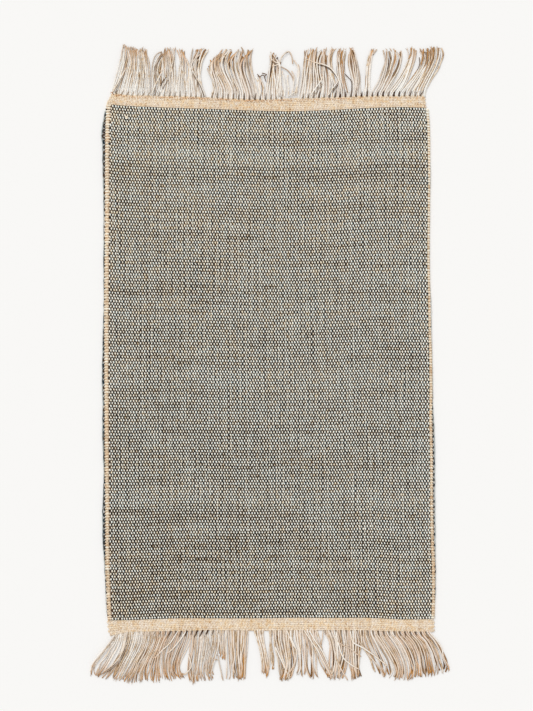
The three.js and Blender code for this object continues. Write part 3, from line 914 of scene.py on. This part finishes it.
def through_stations(stations, t):
    """The cubic in t that passes through four stations at 0, 1/3, 2/3 and 1."""
    a, b, c, d = (stations[..., n, None] for n in range(4))
    u = 3 * t
    return (
        a * (u - 1) * (u - 2) * (u - 3) / -6
        + b * u * (u - 2) * (u - 3) / 2
        + c * u * (u - 1) * (u - 3) / -2
        + d * u * (u - 1) * (u - 2) / 6
    )


def bundle_roots(locks):
    """Where each bundle of a fringe starts at its root, in equal steps from side to side."""
    left, right = locks[0, 0], locks[-1, 1]
    count = int(round((right - left) / BUNDLE_WIDE))
    return left + np.arange(count) * (right - left) / count


def in_locks(locks, root):
    """The lock to which each place at the root belongs, its share of the lock's width, and whether it
    lies in one at all."""
    lock = np.minimum(np.searchsorted(locks[:, 1], root), len(locks) - 1)
    share = (root - locks[lock, 0]) / (locks[lock, 1] - locks[lock, 0])
    return lock, share, (share >= 0) & (share <= 1)


def strand_roots(locks, furrow_table, under):
    """Where the strands of a fringe start: as many to each bundle as the table says, evenly in it, and
    only those that lie in a lock. Those under the others start half a step further on. Returns, for
    each strand, its bundle's middle, how many share the bundle, its place, its lock and its share of
    the lock's width."""
    middles = bundle_roots(locks) + BUNDLE_WIDE / 2
    each = np.round(by_x(furrow_table, STRANDS, middles)).astype(int)
    place = np.concatenate([np.arange(strands) for strands in each])
    middles, each = np.repeat(middles, each), np.repeat(each, each)
    even = middles + BUNDLE_WIDE * ((place + (1.0 if under else 0.5)) / each - 0.5)
    lock, share, kept = in_locks(locks, even)
    return [column[kept] for column in (middles, each, even, lock, share)]


def strand_stations(rng, locks, root, lock, share):
    """x of each strand at the root, a third out, two thirds out and at the tip, and its share of the
    lock's width there. Strands lie evenly in their lock, and towards the tips those of a clump are
    drawn to its middle. Each clump strays as a whole and each strand by itself, more further out."""
    breaks = (rng.random(len(lock)) < 0.4) | (np.diff(lock, prepend=-1) != 0)
    clump = np.cumsum(breaks) - 1
    clumps = clump[-1] + 1
    middle = (np.bincount(clump, share) / np.bincount(clump))[clump]
    gather = np.clip(rng.normal(0.78, 0.16, clumps), 0.4, 1.1)[clump]
    half_way = 0.6 + 0.4 * gather
    share = np.stack([share, share, middle + (share - middle) * half_way,
                      middle + (share - middle) * gather], -1)
    first = locks[lock][:, 0:8:2]
    last = locks[lock][:, 1:8:2]
    x = first + share * (last - first)
    x[:, 0] = root
    together = np.stack([rng.normal(0, s, clumps) for s in (0.0, 0.4, 0.9, 1.4)], -1)[clump]
    alone = np.stack([rng.normal(0, s, len(lock)) for s in (0.15, 0.6, 1.1, 1.5)], -1)
    return x + together + alone, share


def lock_yarns(rng, locks, furrow_table, line, out, under):
    """The strands of one fringe, drawn in at the root between two furrows and square to the heading
    there. Further out a strand follows the cubic through its stations, plus a sine that grows with the
    way out, and near its tip it curls aside. It lies in a layer chosen by chance, low again at its tip.
    Those under the others are shorter. out is 1 for the top fringe and -1 for the bottom one. Returns
    the paths, how much of a bundle each strand takes up, half a bundle counting 1, and how far each is
    inside its lock: 0 at an edge, 1 well within."""
    middles, each, even, lock, share = strand_roots(locks, furrow_table, under)
    inside = np.clip(np.minimum(share, 1 - share) * (locks[lock, 1] - locks[lock, 0]) / 6, 0, 1)
    pinch = 0.97 - 0.3 * by_x(furrow_table, DARK, even)
    count = len(lock)
    x, share = strand_stations(rng, locks, middles + (even - middles) * pinch, lock, share)
    left_reach, right_reach = locks[lock, LEFT_REACH], locks[lock, RIGHT_REACH]
    reach = left_reach + share[:, 3] * (right_reach - left_reach)
    reach = reach - np.abs(rng.normal(0, 6.0 if under else 3.0, count))
    start = curve(ACROSS, line, x[:, 0])
    t = SHARE_OUT[None, :]
    turns = rng.uniform(1.0, 3.2, (count, 1)) * t + rng.random((count, 1))
    wave = rng.normal(0, 0.8, (count, 1)) * np.sin(2 * np.pi * turns) * t
    curl = rng.normal(0, 1.8, (count, 1)) * np.clip((t - 0.72) / 0.28, 0, 1) ** 2
    set_off = 1 - np.exp(-((t / 0.14) ** 2))
    path_x = x[:, :1] + (through_stations(x, t) - x[:, :1]) * set_off + wave + curl
    path_y = start[:, None] + out * (t * (reach[:, None] + 3) - 3)
    lift = np.sin(np.pi * np.clip(t * 1.1, 0, 1)) ** 0.6
    layer = rng.random((count, 1))
    low, high = (1.6, 0.4) if under else (2.3, 2.0)
    path_z = np.broadcast_to(low + high * layer * lift, path_x.shape)
    return np.stack([path_x, path_y, path_z], -1), 2 / each[:, None], inside[:, None]


def furrows(rng, locks, furrow_table, line, out):
    """Painted shade between one bundle's root and the next: short umber tubes that stand in for the deep
    shade there, thick at the heading and gone a little way out, the darker the longer and the wider. They
    lean across by so much for each millimetre out. Returns their paths, their half widths and how umber they
    are."""
    root = bundle_roots(locks)[1:]
    root = root[in_locks(locks, root)[2]]
    count = len(root)
    depth = by_x(furrow_table, DARK, root) * rng.uniform(0.75, 1.1, count)
    depth = np.clip(depth, 0, 1)[:, None]
    lean = by_x(furrow_table, LEAN, root)[:, None]
    long = rng.uniform(8.0, 13.0, (count, 1)) * (0.55 + 0.45 * depth)
    t = np.linspace(0, 1, 7)[None, :]
    x = root[:, None] + lean * t * long + rng.normal(0, 0.6, (count, 1)) * t
    y = curve(ACROSS, line, root)[:, None] + out * (t * (long + 1.0) - 1.0)
    z = np.broadcast_to(3.9 + 0.4 * t, x.shape)
    return np.stack([x, y, z], -1), FURROW_SHADE_HALF_WIDE * (0.3 + 0.7 * depth) * (1 - 0.8 * t), depth**0.7


def end_hairs(rng, paths):
    """The hairs in which each yarn ends: from a little short of its tip, on past it, spreading out with
    the square of the way."""
    tip = np.repeat(paths[:, -1], HAIRS, axis=0)
    before = np.repeat(paths[:, -3], HAIRS, axis=0)
    ahead = (tip - before) / np.linalg.norm(tip - before, axis=1, keepdims=True)
    t = np.linspace(0, 1, 5)[None, :, None]
    long = rng.uniform(1.0, 4.0, (len(tip), 1, 1))
    spread = rng.normal(0, 1.1, (len(tip), 1, 1)) * np.array([1.0, 0.15, 0.0])
    short = 3.5
    start = tip - ahead * short
    path = start[:, None] + ahead[:, None] * t * (short + long) + spread * t * t
    path[..., 2] = np.maximum(path[..., 2] + rng.normal(0, 0.35, (len(tip), 1)), 0.5)
    return path


# Yarns that have strayed from their locks: how brown, how umber, and points (x, y) from the root on.
# The umber is partly the yarn's own colour and partly painted shade: some dark strays are shade lines
# under a lighter one.
TOP_STRAYS = [
    (0.1, 0.0, [(-288, 500), (-277, 520), (-268, 536), (-263, 546)]),
    (0.0, 0.5, [(-284, 500), (-275, 517), (-270, 527), (-267, 533)]),
    (0.2, 0.3, [(-217, 495), (-216, 535), (-212, 560), (-206, 571), (-198, 575)]),
    (0.4, 0.5, [(-209, 495), (-208, 545), (-204, 558), (-199, 566), (-195, 569)]),
    (0.0, 0.0, [(-217, 495), (-210, 512), (-202, 528), (-197, 541)]),
    (0.3, 0.8, [(-200, 512), (-196, 519), (-191, 526), (-188, 529)]),
    (0.3, 0.6, [(-196, 507), (-191, 514), (-187, 521), (-185, 524)]),
    (0.1, 0.1, [(-184, 495), (-182, 530), (-177, 556), (-174, 572), (-175, 582)]),
    (0.1, 0.0, [(-177, 495), (-177, 530), (-180, 550), (-182, 566)]),
    (0.1, 0.1, [(-116, 492), (-125, 513), (-137, 534), (-142, 548), (-138, 560), (-126, 571)]),
    (0.3, 0.7, [(-119, 492), (-127, 513), (-137, 530), (-139, 541)]),
    (0.2, 0.2, [(-134, 493), (-133, 520), (-134, 545), (-131, 560), (-127, 556)]),
    (0.2, 0.3, [(-28, 489), (-33, 520), (-41, 552), (-46, 575), (-50, 584)]),
    (0.1, 0.1, [(-60, 490), (-66, 520), (-76, 552), (-82, 572)]),
    (0.1, 0.2, [(-96, 492), (-98, 508), (-108, 532), (-113, 545)]),
    (0.5, 0.8, [(-6, 528), (-11, 532), (-16, 529), (-21, 534)]),
    (0.5, 0.8, [(-5, 520), (-7, 529), (-4, 533), (-12, 536)]),
    (0.0, 0.0, [(15, 492), (18, 520), (20, 540), (21, 551), (14, 561), (8, 571)]),
    (0.1, 0.0, [(24, 492), (22, 530), (20, 551), (13, 556), (6, 561)]),
    (0.1, 0.0, [(20, 492), (21, 535), (20, 550), (13, 550), (6, 549)]),
    (0.6, 0.6, [(18, 553), (14, 559), (10, 565), (7, 569)]),
    (0.6, 0.6, [(17, 551), (13, 553), (9, 556), (5, 558)]),
    (0.2, 0.1, [(18, 545), (21, 556), (26, 567), (34, 575), (40, 573), (44, 562), (45, 553)]),
    (0.9, 0.5, [(33, 573), (37, 575), (40, 573), (42, 569)]),
    (0.5, 0.3, [(22, 548), (28, 545), (35, 541), (42, 532), (46, 522), (47, 512)]),
    (0.0, 0.0, [(47, 494), (53, 514), (55, 533), (54, 547), (47, 560)]),
    (0.0, 0.1, [(38, 493), (44, 498), (50, 501), (55, 503)]),
    (0.0, 0.0, [(36, 492), (37, 508), (35, 524), (36, 532)]),
    (0.1, 0.0, [(43, 493), (46, 512), (47, 528), (43, 540)]),
    (0.0, 0.0, [(30, 492), (31, 510), (28, 528), (25, 540)]),
    (0.1, 0.1, [(51, 494), (54, 515), (57, 535), (55, 552)]),
    (0.0, 0.0, [(133, 494), (134, 507), (128, 527), (117, 543), (104, 551), (87, 555), (68, 562)]),
    (0.3, 0.9, [(129, 524), (117, 540), (104, 548), (87, 552)]),
    (0.2, 0.9, [(153, 495), (154, 507), (153, 520), (147, 528), (141, 535)]),
    (0.7, 0.2, [(140, 505), (136, 530), (134, 550), (136, 578)]),
    (0.7, 0.3, [(146, 500), (140, 525), (137, 550), (135, 572)]),
    (0.0, 0.0, [(78, 494), (86, 507), (96, 520), (100, 530)]),
    (0.0, 0.5, [(84, 494), (90, 503), (97, 512), (101, 518)]),
    (0.0, 0.1, [(110, 494), (117, 505), (125, 516), (130, 524)]),
    (0.2, 0.8, [(118, 500), (123, 507), (128, 514)]),
    (0.3, 0.3, [(160, 495), (165, 510), (168, 530), (162, 555), (152, 578)]),
    (0.2, 0.8, [(275, 538), (279, 552), (279, 565)]),
    (0.9, 0.2, [(281, 550), (285, 566), (286, 581)]),
    (0.9, 0.3, [(289, 546), (294, 563), (294, 582)]),
    (0.8, 0.3, [(298, 550), (304, 568), (305, 584)]),
    (0.8, 0.1, [(259, 562), (263, 572), (264, 583)]),
]
BOTTOM_STRAYS = [
    (0.2, 0.1, [(-262, -497), (-268, -530), (-282, -552), (-306, -572)]),
    (0.4, 0.5, [(-264, -530), (-278, -553), (-300, -570), (-316, -578)]),
    (0.3, 0.2, [(-285, -505), (-301, -528), (-320, -550), (-326, -562)]),
    (0.2, 0.0, [(-148, -538), (-143, -558), (-147, -568), (-155, -575), (-161, -573)]),
    (0.1, 0.0, [(-168, -495), (-180, -515), (-196, -530), (-210, -545)]),
    (0.1, 0.0, [(-152, -495), (-164, -512), (-176, -527), (-188, -537)]),
    (0.2, 0.2, [(-120, -494), (-110, -520), (-104, -545), (-94, -548)]),
    (0.3, 0.2, [(-93, -540), (-90, -560), (-86, -578), (-84, -586)]),
    (0.1, 0.0, [(-79, -494), (-78, -530), (-77, -560), (-78, -583)]),
    (0.0, 0.0, [(10, -520), (17, -533), (26, -554), (37, -578)]),
    (0.2, 0.0, [(34, -494), (44, -518), (52, -532), (49, -552), (38, -574)]),
    (0.0, 0.0, [(40, -494), (42, -508), (48, -522), (52, -535)]),
    (0.1, 0.0, [(66, -494), (80, -516), (92, -532), (104, -556), (117, -583)]),
    (0.0, 0.0, [(75, -494), (86, -512), (98, -530), (108, -552), (121, -583)]),
    (0.5, 0.6, [(84, -511), (94, -525), (97, -530)]),
    (0.4, 0.1, [(101, -495), (99, -510), (97, -520)]),
    (0.2, 0.0, [(113, -495), (119, -520), (124, -540), (134, -565), (146, -586)]),
    (0.3, 0.1, [(127, -495), (129, -515), (150, -527), (164, -538), (171, -542)]),
    (0.0, 0.0, [(124, -495), (136, -540), (151, -556), (168, -566)]),
    (0.0, 0.0, [(151, -495), (156, -515), (175, -526), (195, -540), (214, -555), (220, -560)]),
    (0.3, 0.2, [(162, -495), (167, -512), (175, -524), (192, -537)]),
    (0.2, 0.1, [(173, -525), (190, -545), (205, -562), (213, -580)]),
]


def stray_yarns(rng, strays):
    """Each stray is a smooth curve through its points, with a small wave, over the locks. Returns the
    paths, and how brown and how umber each is."""
    t = SHARE_OUT
    paths = []
    for _, _, points in strays:
        points = np.array(points, float)
        table = np.column_stack([np.linspace(0, 1, len(points)), points])
        x = curve(table, 1, t) + 0.3 * np.sin(9 * t + rng.random() * 6)
        y = curve(table, 2, t)
        z = 3.4 + 1.2 * np.sin(np.pi * np.clip(t * 1.1, 0, 1)) + rng.random() * 0.5
        paths.append(np.stack([x, y, z], -1))
    brown = np.array([stray[0] for stray in strays])[:, None]
    umber = np.array([stray[1] for stray in strays])[:, None]
    return np.array(paths), brown, umber


def layer_of_locks(rng, locks, furrow_table, line, out, root_light, under):
    """The strands of all locks as tubes, those on top or those under them. They are lighter at the
    root, by root_light, brown at their tips by chance, and brown all along where the table says so.
    Those on top are thinner and lighter where furrows are dark, and some go umber at their tips. Those
    under them are browner, darker and umber where they lie well inside a lock, most of all two thirds
    out: painted shade under the strands on top. Returns their paths as well."""
    paths, fine, inside = lock_yarns(rng, locks, furrow_table, line, out, under)
    count = len(paths)
    half_wide = UNDER_HALF_WIDE if under else UPPER_HALF_WIDE
    wide = half_wide * fine * (1 + rng.normal(0, 0.12, (count, 1))) * TAPER
    tone = 0.52 + rng.normal(0, 0.2, (count, 1)) + uneven(rng, paths.shape[:2], 14, 0.17)
    tone = tone + np.interp(SHARE_OUT, [0, 0.45], [root_light, 0.0])
    deep = by_x(furrow_table, DARK, paths[:, :1, 0])
    browned = by_x(furrow_table, BROWN, paths[:, :1, 0])
    worn = BROWN_TIP * np.clip(rng.normal(0.5, 0.4, (count, 1)) + 0.6 * browned, 0.0, 1.1)
    worn = worn + browned * BROWN_ALL_ALONG * rng.uniform(0.3, 1.7, (count, 1))
    shade = 0.6 * BROWN_TIP * rng.random((count, 1)) ** 3
    # Painted shade: the strands under the others darker, browner and umber, most of all well inside a lock.
    if under:
        between = np.interp(SHARE_OUT, [0, 0.35, 0.7, 1], [0.05, 0.5, 0.95, 0.8])
        between = np.maximum(between, 0.5 * deep) * fine**3
        shade = inside * rng.random((count, 1)) ** (1.9 - 1.5 * deep) * between
        worn = worn + inside * 0.7 * rng.random((count, 1)) * between
        tone = tone - 0.15 * inside * between
    else:
        wide = wide * (1 - 0.22 * deep)
        tone = tone + 0.16 * deep
    flat = 0.5 if under else 0.85
    return paths, tubes(paths, wide, wide * flat, 6, tone=tone, worn=worn, shade=shade)


def hang_fringe(name, locks, strays, furrow_table, line, out, root_light, seed, material, node):
    """One fringe: the locks in two layers, the strays over them, the hairs at the ends of the upper
    yarns and umber tubes of painted shade in the furrows between the bundles."""
    rng = np.random.default_rng(seed)
    upper, above = layer_of_locks(rng, locks, furrow_table, line, out, root_light, False)
    _, below = layer_of_locks(rng, locks, furrow_table, line, out, root_light, True)
    paths, brown, umber = stray_yarns(rng, strays)
    tone = 0.58 + uneven(rng, paths.shape[:2], 8, 0.14)
    wide = STRAY_HALF_WIDE * TAPER * (1 - 0.35 * umber)
    astray = tubes(paths, wide, 0.9 * wide, 6, tone=tone, worn=brown + 0.5 * BROWN_TIP, shade=umber)
    hairs = end_hairs(rng, upper)
    fine = np.array([0.65, 0.6, 0.5, 0.35, 0.15])
    frayed = tubes(hairs, fine, fine, 4, tone=0.6 + rng.normal(0, 0.15, (len(hairs), 1)), worn=0.7)
    furrow_shade_paths, wide, umber = furrows(rng, locks, furrow_table, line, out)
    # Painted shade: umber tubes in the furrows between bundles.
    dark = tubes(furrow_shade_paths, wide, 0.8 * wide, 6, tone=0.2, shade=umber)
    parts = [
        (above, (0, 0, 1, 0.36), 64, False),
        (below, (0, 0.37, 1, 0.65), 64, False),
        (astray, (0, 0.66, 1, 0.79), 48, False),
        (frayed, (0, 0.8, 1, 0.92), 120, False),
        (dark, (0, 0.93, 1, 1), 64, False),
    ]
    return put_in_scene(name, parts, material, [node])


# The studio.

PAPER_WHITE = dye(249, 248, 246)


def set_camera():
    """Straight above, looking down. The lens is so long that the sensor's 36 mm, which lie along the
    frame's longer side, see VIEW_WIDE times the frame's height for its width."""
    camera = bpy.data.cameras.new("camera")
    camera.sensor_width = 36
    camera.lens = camera.sensor_width * CAMERA_HIGH / (VIEW_WIDE * FRAME_HIGH / FRAME_WIDE)
    camera.clip_end = 50
    stand = bpy.data.objects.new("camera", camera)
    stand.location = (*VIEW_MIDDLE, CAMERA_HIGH)
    bpy.context.scene.collection.objects.link(stand)
    bpy.context.scene.camera = stand


def light_studio():
    """Most of the light from the room all round, which looks as white as the paper, and the rest from a
    broad lamp up and to the left."""
    room = Recipe(bpy.data.worlds.new("studio"))
    light = room.node("ShaderNodeBackground", {}, {"Color": (1.0, 1.0, 1.0, 1.0), "Strength": ROOM_LIGHT})
    white = room.node("ShaderNodeBackground", {}, {"Color": PAPER_WHITE, "Strength": 1.0})
    both = room.node("ShaderNodeMixShader", {}, {0: room.seen(), 1: light, 2: white})
    bpy.context.scene.world = room.show(both, "ShaderNodeOutputWorld")
    lamp = bpy.data.lights.new("window", "SUN")
    lamp.energy = WINDOW_LIGHT
    lamp.angle = WINDOW_WIDE
    window = bpy.data.objects.new("window", lamp)
    window.rotation_euler = (np.radians(-32), np.radians(-20), 0)
    bpy.context.scene.collection.objects.link(window)


def lay_floor():
    """A square of white paper. About a third of what the camera sees of it is plain white, which thins
    the shadow."""
    paper = Recipe(bpy.data.materials.new("studio paper"))
    grain = paper.noise(paper.place(), 300.0)
    tint = paper.mix(grain, dye(251, 250, 248), dye(249, 248, 246))
    material = paper.finish(tint, 0.9, lit=(PAPER_WHITE, paper.seen() * PLAIN_WHITE))
    mesh = bpy.data.meshes.new("floor")
    corners = [(x * PAPER_REACH, y * PAPER_REACH, 0) for x, y in ((-1, -1), (1, -1), (1, 1), (-1, 1))]
    mesh.from_pydata(corners, [], [(0, 1, 2, 3)])
    mesh.materials.append(material)
    floor = bpy.data.objects.new("floor", mesh)
    bpy.context.scene.collection.objects.link(floor)


bpy.context.scene.view_settings.view_transform = "Standard"
set_camera()
light_studio()
lay_floor()

laid, raised = weave_field()
raised += [lay_edge_threads(), knot_slub()]
bindings = bind_sides()
tan_jute = spun_yarn("heading jute", dye(250, 236, 213), dye(231, 208, 177), dye(182, 138, 96), 0.006,
                     fleck=0.7, cool=(1.0, 1.03, 1.13), tan=(0.98, 0.86, 0.68))
headings = [
    weave_heading("heading_weave_top", TOP_FIELD, TOP_FRINGE, 71, tan_jute, "heading_top"),
    weave_heading("heading_weave_bottom", BOTTOM_FRINGE, BOTTOM_FIELD, 73, tan_jute, "heading_bottom"),
    twine_top_heading(),
]
cream_jute = fringe_yarn("fringe jute", dye(255, 253, 247), dye(240, 216, 180), dye(144, 88, 28),
                         dye(213, 154, 84), dye(66, 37, 12), 0.008)
fringes = [
    hang_fringe("fringe_yarns_top", TOP_LOCKS, TOP_STRAYS, TOP_FURROWS, TOP_FRINGE, 1, 0.5, 83,
                cream_jute, "fringe_top"),
    hang_fringe("fringe_yarns_bottom", BOTTOM_LOCKS, BOTTOM_STRAYS, BOTTOM_FURROWS, BOTTOM_FRINGE, -1,
                0.05, 89, cream_jute, "fringe_bottom"),
]
